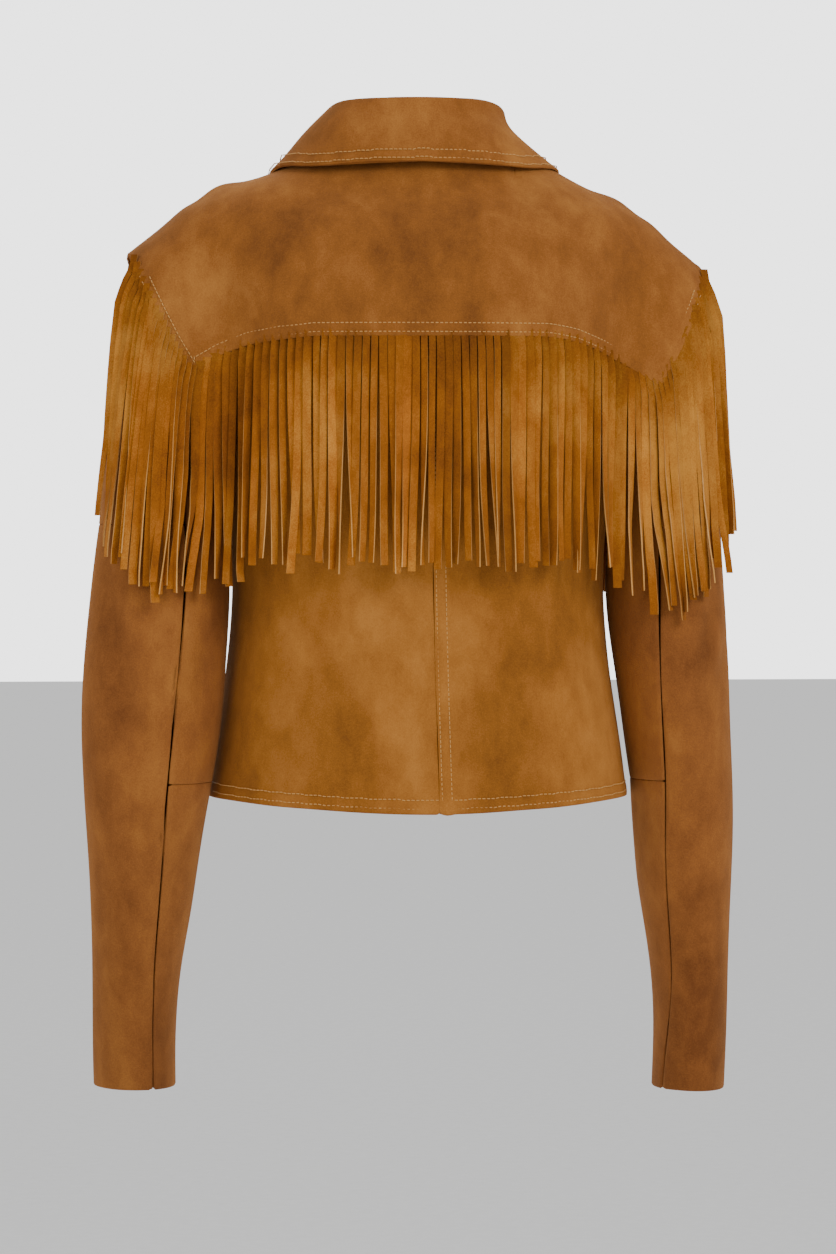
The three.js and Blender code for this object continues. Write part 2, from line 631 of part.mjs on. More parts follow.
sew('collar_stand', wall((u, v) => {
  const s = lerp(-7, 7, u);
  const neck = collarPoint(s, 'neck');
  const fold = collarPoint(s, 'fold').add(lean);
  const inside = new THREE.Vector3(fold.x, fold.y, 0).normalize().multiplyScalar(-4.6);
  return neck.lerp(fold.add(inside), v * 0.96);
}, stations, steps(0, 1, 2), COLLAR_THICK, 1));

// The leaf rolls over the fold and stays clear of the yoke it lies on.
sew('collar_leaf', wall((u, v) => {
  const s = lerp(-7, 7, u);
  const fold = collarPoint(s, 'fold').add(lean);
  const point = fold.clone().lerp(collarPoint(s, 'edge').add(new THREE.Vector3(2, 0, 0)), v);
  const away = new THREE.Vector3(point.x - lean.x, point.y, 0).normalize();
  point.addScaledVector(away, 5 * Math.sin(Math.min(v * 2.2, 1) * Math.PI * 0.5) * (1 - v * 0.5));
  for (let k = 0; k < 6; k += 1) {
    const short = YOKE_LIFT + COLLAR_THICK + 1.6 - aboveSkin(point);
    if (short < 0.05) break;
    point.addScaledVector(skinNormal(point), short);
  }
  return point;
}, stations, steps(0, 1, 5), COLLAR_THICK, 1), 0xa5682f);

// ---------------------------------------------------------------- snaps
for (let i = 0; i < SNAP.count; i += 1) {
  const z = SNAP.top - i * SNAP.pitch;
  const seat = torsoPoint(Math.PI, z, LAP_LIFT + 0.5);
  const profile = [
    new THREE.Vector2(0, 0),
    new THREE.Vector2(SNAP.radius, 0),
    new THREE.Vector2(SNAP.radius, SNAP.height * 0.4),
    new THREE.Vector2(SNAP.radius * 0.7, SNAP.height * 0.85),
    new THREE.Vector2(0, SNAP.height),
  ];
  const cap = sew(`snap_${i + 1}`, new THREE.LatheGeometry(profile, 16), 0x8a6a3c, 0.35, 1);
  const up = torsoPoint(Math.PI, z + 2, 0).sub(torsoPoint(Math.PI, z - 2, 0)).normalize();
  const out = up.clone().cross(new THREE.Vector3(-1, 0, 0)).normalize();
  cap.quaternion.setFromUnitVectors(new THREE.Vector3(0, 1, 0), out);
  cap.position.copy(seat);
}

export default jacket;
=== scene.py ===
import math
import random
import bpy
import numpy as np
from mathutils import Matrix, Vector
from mathutils.bvhtree import BVHTree


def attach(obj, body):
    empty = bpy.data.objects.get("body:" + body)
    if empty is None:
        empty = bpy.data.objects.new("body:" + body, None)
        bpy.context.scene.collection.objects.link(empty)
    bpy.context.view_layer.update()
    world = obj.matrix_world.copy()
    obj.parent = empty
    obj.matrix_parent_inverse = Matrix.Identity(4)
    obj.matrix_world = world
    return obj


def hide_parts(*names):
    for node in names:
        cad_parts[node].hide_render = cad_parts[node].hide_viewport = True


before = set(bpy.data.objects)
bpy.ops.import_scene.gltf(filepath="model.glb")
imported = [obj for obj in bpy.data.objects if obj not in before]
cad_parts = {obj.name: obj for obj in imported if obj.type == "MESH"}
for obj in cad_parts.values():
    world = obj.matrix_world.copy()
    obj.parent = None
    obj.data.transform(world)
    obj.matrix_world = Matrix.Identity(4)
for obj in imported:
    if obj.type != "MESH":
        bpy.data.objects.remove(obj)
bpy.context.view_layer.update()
MM = 0.001

# ---- The view: level with the small of the back, a little to the wearer's left, with a long lens.
TARGET = Vector((0.0, 0.0, -0.342))
VIEW_AZIMUTH, VIEW_ELEVATION, VIEW_DISTANCE = math.radians(175), math.radians(1.5), 3.6
FRAME_HEIGHT = 0.928
SENSOR = 24
back = Vector((math.sin(VIEW_AZIMUTH) * math.cos(VIEW_ELEVATION),
               -math.cos(VIEW_AZIMUTH) * math.cos(VIEW_ELEVATION), math.sin(VIEW_ELEVATION)))
bpy.ops.object.camera_add(location=TARGET + back * VIEW_DISTANCE)
camera = bpy.context.object
camera.rotation_euler = back.to_track_quat("Z", "Y").to_euler()
camera.data.sensor_fit = "VERTICAL"
camera.data.sensor_height = SENSOR
camera.data.lens = SENSOR * VIEW_DISTANCE / FRAME_HEIGHT
camera.data.clip_end = 60
bpy.context.scene.camera = camera

# ---- The room: a pale floor far below the hanging jacket, an even white sky and three soft lamps.
FLOOR_Z = -1.5


def linear(hexcode):
    """An sRGB hex colour as the linear values a shader wants."""
    parts = [int(hexcode[i:i + 2], 16) / 255 for i in (1, 3, 5)]
    return tuple(c / 12.92 if c <= 0.04045 else ((c + 0.055) / 1.055) ** 2.4 for c in parts) + (1.0,)


def add_node(tree, kind, settings=None, links=None):
    """Add a node; settings are its properties and sockets, links are {socket: output}."""
    node = tree.nodes.new(kind)
    for key, value in (settings or {}).items():
        if hasattr(node, str(key)):
            setattr(node, key, value)
        else:
            node.inputs[key].default_value = value
    for key, output in (links or {}).items():
        tree.links.new(output, node.inputs[key])
    return node


def start_material(name):
    """An empty node material with its shader and its Object coordinates."""
    material = bpy.data.materials.new(name)
    material.use_nodes = True
    tree = material.node_tree
    shader = tree.nodes["Principled BSDF"]
    place = add_node(tree, "ShaderNodeTexCoord").outputs["Object"]
    return material, tree, shader, place


# Matt white paint with a faint speckle, which keeps the floor pale and plain.
floor_paint, tree, shader, place = start_material("matt_white_floor_paint")
speckle = add_node(tree, "ShaderNodeTexNoise", {"Scale": 40.0}, {"Vector": place})
ramp = add_node(tree, "ShaderNodeValToRGB", {}, {"Fac": speckle.outputs["Fac"]})
ramp.color_ramp.elements[0].color = linear("#f4f4f3")
ramp.color_ramp.elements[1].color = linear("#ffffff")
tree.links.new(ramp.outputs["Color"], shader.inputs["Base Color"])
shader.inputs["Roughness"].default_value = 0.9
bpy.ops.mesh.primitive_plane_add(size=60, location=(0, 0, FLOOR_Z))
floor = bpy.context.object
floor.name = "floor"
floor.data.materials.append(floor_paint)

world = bpy.data.worlds.new("white_room")
world.use_nodes = True
SKY_SEEN, SKY_LIGHT = 3.0, 0.8  # its strength to the camera, and as light on the jacket
sky = world.node_tree.nodes["Background"]
sky.inputs["Color"].default_value = (1, 1, 1, 1)
light_path = add_node(world.node_tree, "ShaderNodeLightPath")
brightness = add_node(world.node_tree, "ShaderNodeMath",
                      {"operation": "MULTIPLY_ADD", 1: SKY_SEEN - SKY_LIGHT, 2: SKY_LIGHT},
                      {0: light_path.outputs["Is Camera Ray"]})
world.node_tree.links.new(brightness.outputs[0], sky.inputs["Strength"])
bpy.context.scene.world = world
LAMP_AIM = Vector((0, 0, -0.25))
LAMPS = [  # place in metres, power in watts, size in metres
    ((-1.6, 2.2, 1.3), 46, 1.2),
    ((2.0, 1.8, 0.6), 16, 1.6),
    ((0.4, -2.4, 1.0), 22, 1.6),
]
for spot, power, size in LAMPS:
    bpy.ops.object.light_add(type="AREA", location=spot)
    lamp = bpy.context.object
    lamp.data.energy = power
    lamp.data.size = size
    lamp.rotation_euler = (Vector(spot) - LAMP_AIM).to_track_quat("Z", "Y").to_euler()

# ---- Napped suede: split cowhide, drum dyed brown and sanded. The nap lies in patches that catch the
# light differently, darker where it is brushed one way, with a fine fibre and a soft bloom at the rim.
PATCH_MM, STREAK_MM, FIBRE_MM = 85, 15, 1.0
SHARES = (0.46, 0.26, 0.28)  # how much patches, streaks and fibres each add to the tone


def add_noise(tree, vector, size_mm, detail, roughness, distortion=0.0):
    """Noise whose patches are about size_mm wide."""
    noise = add_node(tree, "ShaderNodeTexNoise",
                     {"Scale": 1000 / size_mm, "Detail": detail, "Roughness": roughness,
                      "Distortion": distortion}, {"Vector": vector})
    return noise.outputs["Fac"]


def add_weighed(tree, value, weight, before=None):
    """value times weight, and before on top of it."""
    if before is None:
        return add_node(tree, "ShaderNodeMath", {"operation": "MULTIPLY", 1: weight}, {0: value}).outputs[0]
    return add_node(tree, "ShaderNodeMath", {"operation": "MULTIPLY_ADD", 1: weight},
                    {0: value, 2: before}).outputs[0]


def suede(name, dark, middle, light, spread=0.15):
    """Suede whose tone runs from dark to light over patches, streaks and single fibres."""
    material, tree, shader, place = start_material(name)
    stretched = add_node(tree, "ShaderNodeMapping", {"Scale": (1.0, 1.0, 0.6)}, {"Vector": place})
    patches = add_noise(tree, stretched.outputs["Vector"], PATCH_MM, 2.0, 0.5, 0.25)
    streaks = add_noise(tree, stretched.outputs["Vector"], STREAK_MM, 4.0, 0.6, 0.2)
    fibres = add_noise(tree, place, FIBRE_MM, 3.0, 0.75)
    blend = add_weighed(tree, patches, SHARES[0])
    blend = add_weighed(tree, streaks, SHARES[1], blend)
    blend = add_weighed(tree, fibres, SHARES[2], blend)
    ramp = add_node(tree, "ShaderNodeValToRGB", {}, {"Fac": blend})
    ramp.color_ramp.elements[0].position = 0.5 - spread
    ramp.color_ramp.elements[0].color = linear(dark)
    ramp.color_ramp.elements[1].position = 0.5 + spread
    ramp.color_ramp.elements[1].color = linear(light)
    ramp.color_ramp.elements.new(0.5).color = linear(middle)
    # Each vertex's tone scales this colour's value: random tone, plus painted light on raised folds and
    # painted shade in creases, grooves and at the fringe strips' roots.
    tone_and_painted_light = add_node(tree, "ShaderNodeAttribute", {"attribute_name": "tone_and_painted_light"})
    shade = add_node(tree, "ShaderNodeHueSaturation", {},
                     {"Color": ramp.outputs["Color"], "Value": tone_and_painted_light.outputs["Fac"]})
    tree.links.new(shade.outputs["Color"], shader.inputs["Base Color"])
    nap = add_weighed(tree, streaks, 0.5, fibres)
    bump = add_node(tree, "ShaderNodeBump", {"Strength": 0.5, "Distance": 0.0007}, {"Height": nap})
    tree.links.new(bump.outputs["Normal"], shader.inputs["Normal"])
    shader.inputs["Roughness"].default_value = 0.95
    shader.inputs["Specular IOR Level"].default_value = 0.12
    shader.inputs["Sheen Weight"].default_value = 0.3
    shader.inputs["Sheen Roughness"].default_value = 0.45
    shader.inputs["Sheen Tint"].default_value = linear("#d89a58")
    return material


def set_tone_and_painted_light(mesh, tones_and_painted_light):
    """How light each vertex's suede is, 1 for the plain colour, as random tone and also as painted light and
    painted shade; the material's Value reads it.
    """
    attribute = mesh.attributes.new("tone_and_painted_light", "FLOAT", "POINT")
    attribute.data.foreach_set("value", np.asarray(tones_and_painted_light, np.float32))


# The body panels' nap, a warm brown that turns golden where it lies up.
body_suede = suede("napped_suede_brown", "#6c3f17", "#8f5822", "#aa7032")
# The sleeves' nap, a shade darker and redder, which sets the arms off from the back.
sleeve_suede = suede("napped_suede_sleeve", "#65391a", "#855025", "#a0672f")
# The nap of the yoke and collar, darker still where shoulders rub it.
yoke_suede = suede("napped_suede_yoke", "#673c18", "#885223", "#a56d33")
# The strips' nap, with a stronger play of dark and gold, so that single strips can be told apart.
strip_suede = suede("napped_suede_strips", "#6a3810", "#935519", "#b57a30", 0.13)
# The hide's pale undyed heart, a thin light line along each cut edge of a strip.
cut_edge = suede("cut_suede_edge_pale", "#9a6a34", "#bb8748", "#d3a468")

# ---- Body panels, sleeves, yokes and collar: each cut from suede about 1.6 mm thick. Each sheet takes
# its form from the jacket's own frame, smoothed, with soft folds where the arms pull the cloth.
FOLDS = [  # start and end of a soft fold, its width, and its depth, inwards when negative, all in mm
    ((124, 90, -306), (112, 96, -372), 13, -3.2),
    ((-118, 92, -300), (-138, 70, -330), 14, -3.0),
    ((-92, 105, -330), (-120, 90, -420), 22, 1.8),
    ((60, 108, -345), (88, 104, -460), 26, -1.6),
    ((-40, 108, -380), (-66, 110, -462), 24, -1.4),
    ((228, 40, -280), (214, 74, -400), 9, -3.0),
    ((214, 74, -400), (196, 78, -425), 8, -2.2),
    ((150, 50, -330), (176, 70, -400), 12, -2.2),
    ((236, 20, -440), (222, 58, -470), 10, -1.8),
    ((206, 66, -480), (180, 40, -505), 9, -1.8),
    ((-212, 50, -318), (-204, 64, -372), 8, -2.6),
    ((-230, 30, -350), (-200, 66, -404), 9, -2.8),
    ((-215, 50, -440), (-190, 62, -470), 9, -1.8),
    ((-222, 10, -560), (-200, 28, -590), 9, -1.6),
    ((222, 30, -590), (200, 34, -612), 9, -1.5),
    ((129, 92, -93), (129, 96, -134), 7, -2.6),
    ((60, 60, -30), (105, 60, -52), 16, -1.4),
    ((-60, 60, -30), (-105, 58, -58), 16, -1.4),
    ((70, -100, -330), (95, -90, -420), 18, -2.0),
    ((-70, -100, -320), (-100, -88, -430), 18, -2.0),
]
# The yoke's lower edge from the centre to the sleeve: x, z and how far its fringe hangs down, in mm.
YOKE_EDGE = [(0, -130, 166), (85, -130, 163), (108, -133, 160), (130, -139, 160), (152, -149, 166),
             (173, -161, 163), (186, -139, 180), (197, -117, 190), (206, -97, 192), (215, -74, 188)]
YOKE_POINT = 5  # the row of YOKE_EDGE at the yoke's point
UNEVENNESS = 0.6  # in mm
HEM_CENTRE, HEM_LIFT = -473, 8  # the hem's height at the centre, and how much higher it is at the sides
YOKE_LEVEL, BACK_LENGTH, SEAM_SWING = -130, 343, 6  # where the back seam starts, its length and sideways run
HEM_BAND, SEAM_BAND, YOKE_BAND = (10.5, 0.7), (9.7, 0.8), (9.3, 0.7)  # width and rise of a double layer
FIRST_ROW, GROOVE_WIDTH, GROOVE_DEPTH = 2.3, 1.1, 0.55  # of the stitches in a double layer
FOLD_PAINTED_LIGHT = 0.035  # painted light: how much lighter the suede is painted for each mm that it stands out, and how much darker, as painted shade, for each mm that it sinks into a fold or groove
CUFF_TONE, CUFF_TONE_TOP, CUFF_TONE_REACH = 0.12, -430, 200  # how the lower left sleeve darkens
SLEEVE_AXIS_X, YOKE_OUTWARD_Z = 195, 60.0  # which way is out on a sleeve and on the yoke


def fold_shift(points):
    """How far each point (in mm) moves out of or into the folds, with a slight unevenness."""
    shift = np.zeros(len(points))
    for start, end, width, depth in FOLDS:
        a, b = np.array(start, float), np.array(end, float)
        along = np.clip(((points - a) @ (b - a)) / ((b - a) @ (b - a)), 0, 1)
        away = np.linalg.norm(points - (a + along[:, None] * (b - a)), axis=1)
        taper = np.sin(np.pi * (0.12 + 0.76 * along))
        shift += depth * taper * np.exp(-(away / width) ** 2)
    x, y, z = points.T
    shift += UNEVENNESS * np.sin(x / 23 + z / 41) * np.sin(z / 37 - y / 29 + 1.0)
    return shift


def yoke_edge_distance(points):
    """How far points of a yoke lie above its lower edge, in mm, seen square to the back."""
    corners = np.array([(x, z) for x, z, _ in YOKE_EDGE], float)
    flat = np.stack([np.abs(points[:, 0]), points[:, 2]], axis=1)
    nearest = np.full(len(points), 1e9)
    for a, b in zip(corners, corners[1:]):
        t = np.clip(((flat - a) @ (b - a)) / ((b - a) @ (b - a)), 0, 1)
        nearest = np.minimum(nearest, np.linalg.norm(flat - (a + t[:, None] * (b - a)), axis=1))
    return nearest


def turned_band(distance, width, rise):
    """A double layer along an edge: raised, with a groove where each row of stitches pulls it down."""
    band = rise / (1 + np.exp((distance - width) / 0.5))
    for row in (FIRST_ROW, width - 1.0):
        band = band - GROOVE_DEPTH * np.exp(-((distance - row) / GROOVE_WIDTH) ** 2)
    return band


def seam_x(z):
    """Where the centre-back seam runs at height z."""
    return -SEAM_SWING * np.clip((YOKE_LEVEL - z) / BACK_LENGTH, 0, 1) ** 1.3


def tailor(name, material, levels=2):
    """A smooth suede sheet, with its folds and double layers, on the form of one of the frame's pieces."""
    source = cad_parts[name]
    bpy.ops.object.select_all(action="DESELECT")
    mesh = source.data.copy()
    piece = bpy.data.objects.new(name + "_suede", mesh)
    bpy.context.collection.objects.link(piece)
    mesh.materials.clear()
    mesh.materials.append(material)
    bpy.context.view_layer.objects.active = piece
    piece.select_set(True)
    bpy.ops.object.mode_set(mode="EDIT")
    bpy.ops.mesh.select_all(action="SELECT")
    bpy.ops.mesh.remove_doubles(threshold=0.00002)
    bpy.ops.mesh.tris_convert_to_quads(face_threshold=math.radians(50), shape_threshold=math.radians(60))
    bpy.ops.mesh.select_all(action="DESELECT")
    bpy.ops.mesh.select_mode(type="EDGE")
    bpy.ops.mesh.edges_select_sharp(sharpness=math.radians(55))
    bpy.ops.transform.edge_crease(value=0.9)
    bpy.ops.object.mode_set(mode="OBJECT")
    smooth = piece.modifiers.new("smooth", "SUBSURF")
    smooth.levels = levels
    smooth.render_levels = levels
    bpy.ops.object.modifier_apply(modifier="smooth")
    count = len(mesh.vertices)
    points = np.empty(count * 3)
    normals = np.empty(count * 3)
    mesh.vertices.foreach_get("co", points)
    mesh.vertices.foreach_get("normal", normals)
    points, normals = points.reshape(-1, 3) / MM, normals.reshape(-1, 3)
    outward = points * np.array([1.0, 1.0, 0.0])
    if "sleeve" in name:
        outward[:, 0] -= np.sign(points[:, 0]) * SLEEVE_AXIS_X
    if "yoke" in name:
        outward[:, 2] = YOKE_OUTWARD_Z
    flipped = np.sum(normals * outward, axis=1) < 0
    normals[flipped] *= -1
    shift = fold_shift(points)
    to_side = points[:, 0] / np.maximum(np.hypot(points[:, 0], points[:, 1]), 1)
    hem = HEM_CENTRE + HEM_LIFT * to_side ** 2
    if name.startswith(("back", "front")):
        shift += turned_band(points[:, 2] - hem, *HEM_BAND)
    if name == "back_right":
        shift += turned_band(seam_x(points[:, 2]) - points[:, 0], *SEAM_BAND)
    if name.startswith("yoke"):
        shift += turned_band(yoke_edge_distance(points), *YOKE_BAND)
    # Painted light: suede that stands out is painted lighter, and folds and stitch grooves are painted
    # darker as painted shade.
    tones_and_painted_light = 1 + FOLD_PAINTED_LIGHT * shift
    if "sleeve" in name:
        low = np.clip((CUFF_TONE_TOP - points[:, 2]) / CUFF_TONE_REACH, 0, 1)
        tones_and_painted_light -= CUFF_TONE * low * (points[:, 0] > 0)
    set_tone_and_painted_light(mesh, tones_and_painted_light)
    points = points + normals * shift[:, None]
    mesh.vertices.foreach_set("co", (points * MM).ravel())
    mesh.update()
    bpy.ops.object.shade_smooth_by_angle(angle=math.radians(50))
    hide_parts(name)
    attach(piece, "root")
    return piece


for side in ("left", "right"):
    for part in ("back", "front", "upper_sleeve_top", "upper_sleeve_bottom", "under_sleeve_top",
                 "under_sleeve_bottom"):
        is_sleeve = "sleeve" in part
        tailor(f"{part}_{side}", sleeve_suede if is_sleeve else body_suede, 2 if is_sleeve else 3)
for part in ("yoke_back", "yoke_front_left", "yoke_front_right"):
    tailor(part, yoke_suede, 3)
for part in ("collar_leaf", "collar_stand"):
    tailor(part, yoke_suede)

# ---- Fringe: strips about 6 mm wide cut in suede, sewn in under the yoke's edge. They hang straight,
# lie two deep, twist so that the pale cut edge shows, and end unevenly.
STRIP_WIDTH, STRIP_THICK, STRIP_STEP = 5.8, 0.95, 5.9
STRIP_SEGMENTS = 22
TUCK, TUCK_DEPTH = 5, 3.4  # how far a strip starts above the yoke's edge, and how deep under it
LAYER_LIFT = 1.3  # how far every second strip lies out over the first ones
SWAY, CURL, TURN = 2.6, 1.6, 0.55  # spread of a strip's sideways swing, curl in mm, and twist in radians
TWISTED_SHARE, EXTRA_TURN = 0.28, 1.2  # some strips turn much further
# The random spread of each strip's tone, and painted shade that darkens the lower layer under the upper
# strips.
SHADE_SPREAD, LOWER_LAYER_PAINTED_SHADE = 0.09, 0.06
ROOT_PAINTED_SHADE, SHADE_GAIN, SHADE_ROWS = 0.72, 0.34, 7  # strips are painted darker at their root, painted shade under the yoke's edge
SHOULDER_RAISE = 4.3  # mm, the left one up and the right one down
chance = random.Random(7)


def node_tree(*names):
    """A search tree over the outer form of the named frame pieces."""
    verts, faces = [], []
    for name in names:
        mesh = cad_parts[name].data
        start = len(verts)
        verts += [v.co.copy() for v in mesh.vertices]
        faces += [[start + i for i in p.vertices] for p in mesh.polygons]
    return BVHTree.FromPolygons(verts, faces)


def cast(tree, core, outside):
    """The first place in mm where the line from outside towards the core meets the form."""
    a, b = Vector(outside) * MM, Vector(core) * MM
    spot, normal, _, _ = tree.ray_cast(a, (b - a).normalized(), (b - a).length)
    return (None, None) if spot is None else (np.array(spot) / MM, np.array(normal))


def edge_point(distance):
    """x, z and fringe reach at a distance along the yoke's edge from the centre."""
    for (xa, za, ra), (xb, zb, rb) in zip(YOKE_EDGE, YOKE_EDGE[1:]):
        span = math.hypot(xb - xa, zb - za)
        if distance <= span:
            t = distance / span
            return xa + t * (xb - xa), za + t * (zb - za), ra + t * (rb - ra)
        distance -= span
    return None


def posture(x, z):
    """How far the raised left shoulder lifts a point, as in the frame."""
    side = min(max((abs(x) - 90) / 65, 0), 1)
    high = min(max((z + 330) / 180, 0), 1)
    eased = side * side * (3 - 2 * side)
    return SHOULDER_RAISE * eased * math.copysign(1, x) * high * high * (3 - 2 * high)


def mesh_object(name, verts, faces, materials):
    """A new object from points in mm, with its faces turned outwards."""
    mesh = bpy.data.meshes.new(name)
    mesh.from_pydata([tuple(v * MM) for v in verts], [], faces)
    piece = bpy.data.objects.new(name, mesh)
    bpy.context.collection.objects.link(piece)
    for material in materials:
        mesh.materials.append(material)
    bpy.ops.object.select_all(action="DESELECT")
    bpy.context.view_layer.objects.active = piece
    piece.select_set(True)
    bpy.ops.object.mode_set(mode="EDIT")
    bpy.ops.mesh.select_all(action="SELECT")
    bpy.ops.mesh.normals_make_consistent(inside=False)
    bpy.ops.object.mode_set(mode="OBJECT")
    return piece


def strip(tree, x, z, reach, face, deep):
    """The centre line, width directions and outward directions of one strip, or nothing off the edge."""
    z += posture(x, z)
    top, _ = cast(tree, (x, 0, z - 6), (x, face * 300, z - 6))
    if top is None:
        return None
    core = np.array([x * 0.62, -10.0 * face, 0])
    aim = np.array([top[0] - core[0], top[1] - core[1], 0])
    aim /= np.linalg.norm(aim)
    reach *= 1 + chance.uniform(-0.055, 0.055)
    sway = chance.gauss(0, SWAY)
    curl = chance.gauss(0, CURL)
    turn = chance.gauss(0, TURN)
    if chance.random() < TWISTED_SHARE:
        turn += chance.choice((-1, 1)) * EXTRA_TURN
    phase = chance.uniform(0, 6.28)
    lift = chance.uniform(-0.8, 1.0) + deep
    facing = aim * 0.3 + np.array([0, face * 0.7, 0])
    facing /= np.linalg.norm(facing)
    side = np.array([facing[1], -facing[0], 0]) * face
    rows = []
    last = top
    for i in range(STRIP_SEGMENTS + 1):
        t = i / STRIP_SEGMENTS
        level = z + TUCK - t * (reach + TUCK)
        probe = min(max(level, z - reach + 2), z - 5)
        spot, _ = cast(tree, core + np.array([0, 0, probe]), core + aim * 330 + np.array([0, 0, probe]))
        last = spot if spot is not None else last + np.array([0, 0, probe - last[2]])
        tucked = 1 - min(max((z + 3 - level) / 14, 0), 1)
        out = -TUCK_DEPTH * tucked + lift * (1 - tucked) * min(t * 3, 1)
        centre = np.array([last[0], last[1], level]) + aim * out
        centre += side * (sway * t ** 1.6 + 0.9 * math.sin(phase + 5 * t) * t)
        centre += aim * abs(curl) * max(t - 0.7, 0) * 6
        angle = turn * t ** 1.3 + 0.12 * math.sin(phase + 7 * t)
        across = side * math.cos(angle) + facing * math.sin(angle)
        outward = facing * math.cos(angle) - side * math.sin(angle)
        rows.append((centre, across, outward))
    return rows


def make_fringe(name, face, signs, start):
    """All strips of one fringe, from `start` mm along the yoke's edge, on face 1 behind or -1 in front."""
    tree = node_tree(name)
    verts, faces, pale, tones_and_painted_light = [], [], [], []
    distance = start
    number = 0
    while edge_point(distance) is not None:
        x, z, reach = edge_point(distance)
        for sign in signs:
            if sign < 0 and x < 1:
                continue
            upper = number % 2
            rows = strip(tree, sign * x, z, reach, face, upper * LAYER_LIFT)
            number += 1
            if rows is None:
                continue
            base = len(verts)
            half_w = STRIP_WIDTH * chance.uniform(0.8, 1.08) / 2
            # Each strip gets a random tone, and every lower-layer strip also gets painted shade.
            shade = 1.0 + chance.gauss(0, SHADE_SPREAD) - LOWER_LAYER_PAINTED_SHADE * (number % 2)
            for i, (centre, across, outward) in enumerate(rows):
                # Painted shade darkens each strip's first rows, under the yoke's edge.
                tones_and_painted_light += [shade * (ROOT_PAINTED_SHADE + SHADE_GAIN * min(i / SHADE_ROWS, 1))] * 4
                for a, b in ((-1, 1), (1, 1), (1, -1), (-1, -1)):
                    verts.append(centre + across * a * half_w + outward * b * STRIP_THICK / 2)
            for i in range(STRIP_SEGMENTS):
                for k in range(4):
                    a, b = base + i * 4 + k, base + i * 4 + (k + 1) % 4
                    faces.append((a, b, b + 4, a + 4))
                    pale.append(k % 2)
            end = base + STRIP_SEGMENTS * 4
            faces += [(base + 3, base + 2, base + 1, base), (end, end + 1, end + 2, end + 3)]
            pale += [0, 1]
        distance += STRIP_STEP
    piece = mesh_object(name + "_strips", verts, faces, (strip_suede, cut_edge))
    piece.data.polygons.foreach_set("material_index", pale)
    set_tone_and_painted_light(piece.data, tones_and_painted_light)
    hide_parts(name)
    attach(piece, "root")
    return piece


fringe = make_fringe("fringe_back", 1, (1, -1), 0)
for side, sign in (("left", 1), ("right", -1)):
    fringe = make_fringe(f"fringe_front_{side}", -1, (sign,), 34)

# ---- Topstitching: stout polyester thread the colour of straw, 3 mm to the stitch, sewn in two rows
# 6 mm apart beside the yoke's edge, the hem and the centre-back seam, and round the collar.
# Straw-coloured thread with a slight sheen, a fine pale dashed line beside the edges.
thread, tree, shader, place = start_material("polyester_thread_straw")
twist = add_node(tree, "ShaderNodeTexNoise", {"Scale": 900.0}, {"Vector": place})
ramp = add_node(tree, "ShaderNodeValToRGB", {}, {"Fac": twist.outputs["Fac"]})
ramp.color_ramp.elements[0].color = linear("#a06c30")
ramp.color_ramp.elements[1].color = linear("#d6a45c")
tree.links.new(ramp.outputs["Color"], shader.inputs["Base Color"])
shader.inputs["Roughness"].default_value = 0.55
STITCH, STITCH_GAP, THREAD = 2.6, 3.4, 0.75  # a stitch's length, the step to the next, thread width
BREAK = 25  # a longer step than this, in mm, ends one stretch of a row
stitch_verts, stitch_faces = [], []


def stitch(spot, along, normal):
    """One stitch: a small rounded bar lying on the suede."""
    normal, along = normal / np.linalg.norm(normal), along / np.linalg.norm(along)
    across = np.cross(normal, along)
    base = len(stitch_verts)
    for t, h, w in ((-0.5, -0.35, 0.35), (-0.3, 0.35, 0.5), (0.3, 0.35, 0.5), (0.5, -0.35, 0.35)):
        for a, b in ((-1, 0), (0, 1), (1, 0), (0, -1)):
            stitch_verts.append(spot + along * t * STITCH + across * a * w * THREAD
                                + normal * (h + b * 0.45) * THREAD)
    for i in range(3):
        for k in range(4):
            a, b = base + i * 4 + k, base + i * 4 + (k + 1) % 4
            stitch_faces.append((a, b, b + 4, a + 4))
    stitch_faces.append((base + 3, base + 2, base + 1, base))
    stitch_faces.append((base + 12, base + 13, base + 14, base + 15))


def sew_row(spots):
    """Stitches spaced evenly along a row of (place, normal)."""
    left = 0.0
    for (p, n), (q, _) in zip(spots, spots[1:]):
        span = np.linalg.norm(q - p)
        if span > BREAK:
            continue
        while left < span:
            stitch(p + (q - p) * left / span, q - p, n)
            left += STITCH_GAP
        left -= span


def cast_row(tree, pairs):
    """Where lines from outside to a core meet a piece, as (place, normal)."""
    hits = [cast(tree, core, outside) for core, outside in pairs]
    return [(p, n) for p, n in hits if p is not None]


def around(tree, centre, rise, levels, degrees, reach=260):
    """A row that follows a piece's lower edge, `rise` above it, by angle round an upright axis."""
    pairs = []
    for angle in np.arange(*degrees, 2.0):
        way = np.array([math.sin(math.radians(angle)), math.cos(math.radians(angle)), 0])
        for level in np.arange(*levels, 0.8):
            core = np.array([*centre, level])
            outside = core + way * reach
            if cast(tree, core, outside)[0] is not None:
                lift = np.array([0, 0, rise])
                pairs.append((core + lift, outside + lift))
                break
    return pairs


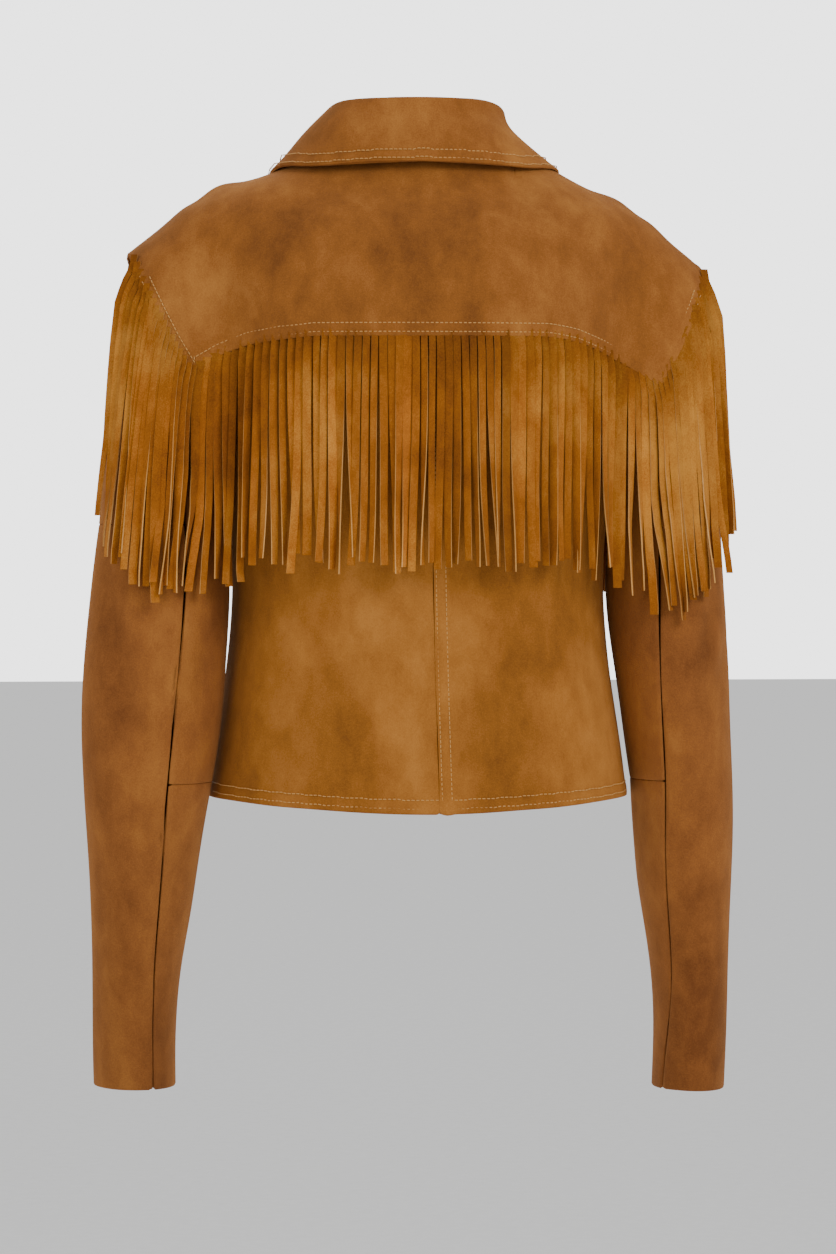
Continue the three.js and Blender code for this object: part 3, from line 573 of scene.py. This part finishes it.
def yoke_row(sign, face, first, inset):
    """Lines onto the yoke for a row `inset` mm in from its edge, from x = first out to the sleeve."""
    inner, outer = np.array(YOKE_EDGE[:YOKE_POINT + 1]), np.array(YOKE_EDGE[YOKE_POINT:])
    turn_x = YOKE_EDGE[YOKE_POINT][0] - inset * 0.6
    pairs = []
    for x in np.arange(first, turn_x, 3.0):
        z = np.interp(x, inner[:, 0], inner[:, 1]) + inset * 1.06
        z += posture(sign * x, z)
        pairs.append(((sign * x, 0, z), (sign * x, face * 300, z)))
    for x in np.arange(turn_x, 210 - inset, 2.0):
        z = np.interp(x + inset * 0.9, outer[:, 0], outer[:, 1])
        z += inset * 0.5 + posture(sign * x, z)
        pairs.append(((sign * x, 0, z), (sign * x, face * 300, z)))
    return pairs


body_tree = node_tree("back_left", "back_right", "front_left", "front_right")
for rise in (3.2, 9.5):
    sew_row(cast_row(body_tree, around(body_tree, (0, 0), rise, (-476, -462), (0, 362))))
leaf_tree = node_tree("collar_leaf")
for rise in (2.9, 9.0):
    sew_row(cast_row(leaf_tree, around(leaf_tree, (4, 0), rise, (-110, 20), (-152, 154))))
for beside in (-1.7, -8.7):
    pairs = []
    for z in np.arange(YOKE_LEVEL, -472, -4.0):
        x = beside - SEAM_SWING * ((YOKE_LEVEL - z) / BACK_LENGTH) ** 1.3
        pairs.append(((x, 0, z), (x, 300, z)))
    sew_row(cast_row(body_tree, pairs))
for node, face, first in (("yoke_back", 1, 0), ("yoke_front_left", -1, 31), ("yoke_front_right", -1, 31)):
    yoke_tree = node_tree(node)
    for inset in (2.3, 8.3):
        for sign in (1, -1):
            sew_row(cast_row(yoke_tree, yoke_row(sign, face, first, inset)))
stitches = mesh_object("topstitching", stitch_verts, stitch_faces, (thread,))
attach(stitches, "root")

# ---- Snap caps: pressed brass, aged dull, riveted down the front overlap. They keep the frame's form.
# Brass dulled by patches of tarnish, which gives small soft glints down the front.
brass, tree, shader, place = start_material("aged_brass")
tarnish = add_node(tree, "ShaderNodeTexNoise", {"Scale": 300.0, "Detail": 4.0}, {"Vector": place})
ramp = add_node(tree, "ShaderNodeValToRGB", {}, {"Fac": tarnish.outputs["Fac"]})
ramp.color_ramp.elements[0].color = linear("#6e5128")
ramp.color_ramp.elements[1].color = linear("#b08a4a")
tree.links.new(ramp.outputs["Color"], shader.inputs["Base Color"])
shader.inputs["Metallic"].default_value = 1.0
shader.inputs["Roughness"].default_value = 0.38
for name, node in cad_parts.items():
    if name.startswith("snap_"):
        node.data.materials.clear()
        node.data.materials.append(brass)
